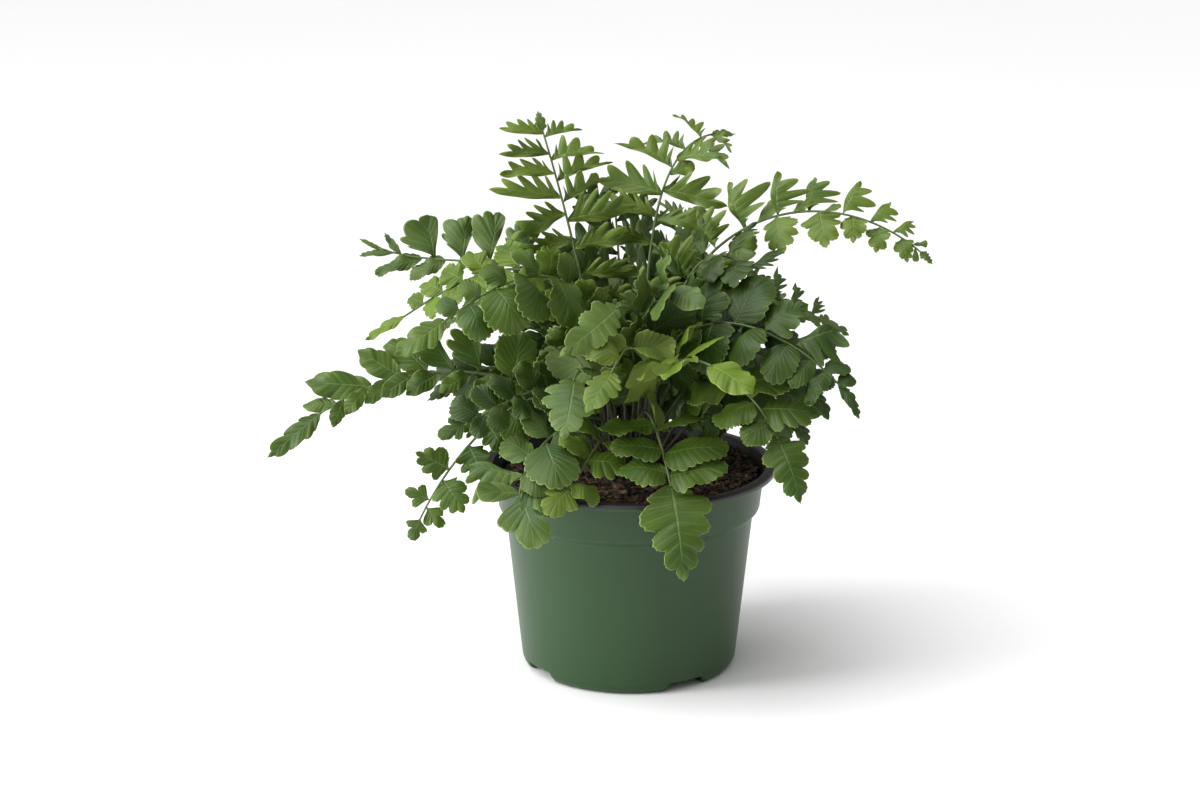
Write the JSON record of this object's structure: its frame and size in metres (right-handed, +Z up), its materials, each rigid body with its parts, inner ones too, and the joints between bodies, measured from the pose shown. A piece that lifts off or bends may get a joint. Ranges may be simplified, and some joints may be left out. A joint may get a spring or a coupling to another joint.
{
  "type": "potted fern",
  "caption": "Live fern with arching fronds of small scalloped leaflets, growing from a scaly crown in potting mix in a round green plastic nursery pot.",
  "frame": {"origin": "centre of the flat pad under the pot, on the surface that the pot stands on", "axes": "+Z up along the pot's axis, -Y towards the side shown in the picture, +X to its right"},
  "size_m": [0.3368, 0.2481, 0.2847],
  "materials": {
    "pot_plastic": "semi-gloss moulded polypropylene, green outside, black inside and on the lip",
    "potting_mix": "damp dark peat with bark chips and fibre",
    "crown_scales": "dry brown overlapping scales",
    "leaf_deep": "deep green, satin, furrowed along the veins",
    "leaf_mid": "mid green, satin, furrowed along the veins",
    "leaf_fresh": "fresh light green, satin, with paler edges",
    "leaf_bright": "yellow-green young leaf, satin",
    "leaf_blue": "bluish green with a grey sheen",
    "leaf_pale": "pale greyish green, satin"
  },
  "bodies": {
    "root": {"pot": "pot_plastic", "potting_mix": "potting_mix", "crown": "crown_scales", "frond_left_broad": "leaf_mid", "frond_top_left": "leaf_fresh", "frond_top_right": "leaf_fresh", "frond_right_arch": "leaf_fresh", "frond_right_broad": "leaf_deep", "frond_right_low": "leaf_mid", "frond_front_right": "leaf_mid", "frond_front_left": "leaf_pale", "frond_front_middle": "leaf_fresh", "frond_left_lower": "leaf_mid", "frond_left_mid": "leaf_deep", "frond_left_long": "leaf_mid", "frond_left_yellow": "leaf_bright", "frond_left_top": "leaf_blue", "frond_right_front": "leaf_bright", "frond_middle_droop": "leaf_pale", "frond_middle_front": "leaf_fresh", "frond_left_front": "leaf_pale", "frond_middle_back": "leaf_deep", "frond_back_rise": "leaf_mid", "frond_right_inner": "leaf_deep", "frond_middle_rise": "leaf_pale", "frond_right_middle": "leaf_deep", "frond_right_under": "leaf_deep", "frond_left_under": "leaf_deep", "frond_left_behind": "leaf_mid", "frond_right_behind": "leaf_mid", "frond_back_left": "leaf_mid", "frond_back_right": "leaf_deep", "frond_back_low": "leaf_mid", "frond_back_low_left": "leaf_deep", "frond_back_low_right": "leaf_mid", "frond_inner_left": "leaf_deep", "frond_inner_right": "leaf_deep", "frond_inner_back": "leaf_deep", "frond_inner_rise_left": "leaf_deep", "frond_inner_rise_right": "leaf_deep", "frond_low_left": "leaf_deep", "frond_low_right": "leaf_deep", "frond_low_back": "leaf_deep"}
  },
  "joints": []
}
